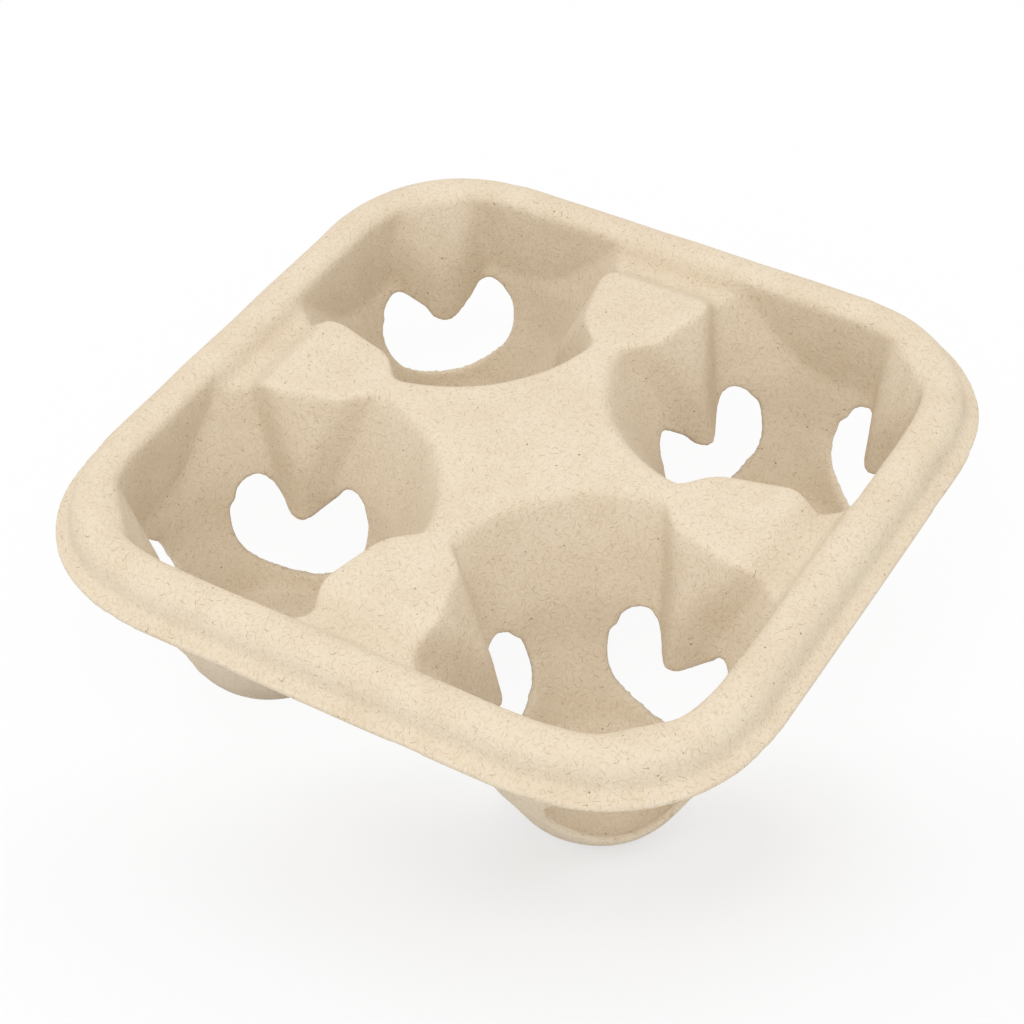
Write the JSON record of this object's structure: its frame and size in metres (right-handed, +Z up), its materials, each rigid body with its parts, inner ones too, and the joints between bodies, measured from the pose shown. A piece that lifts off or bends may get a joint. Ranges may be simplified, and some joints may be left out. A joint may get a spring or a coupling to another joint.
{
  "type": "moulded pulp cup carrier",
  "caption": "Square moulded pulp cup carrier: rounded rim bead over a trimmed flange, cross-shaped deck, tapered pockets with folded-in gripping tongues over W-shaped cut-outs.",
  "frame": {"origin": "centre of the square tray, on the plane that the pockets stand on", "axes": "+Z up out of the pockets; +X and +Y square to the tray's sides"},
  "size_m": [0.215, 0.215, 0.0652],
  "materials": {
    "pulp": "matte, unbleached, with fine short fibres and specks"
  },
  "bodies": {
    "root": {"cup_carrier": "pulp"}
  },
  "joints": []
}
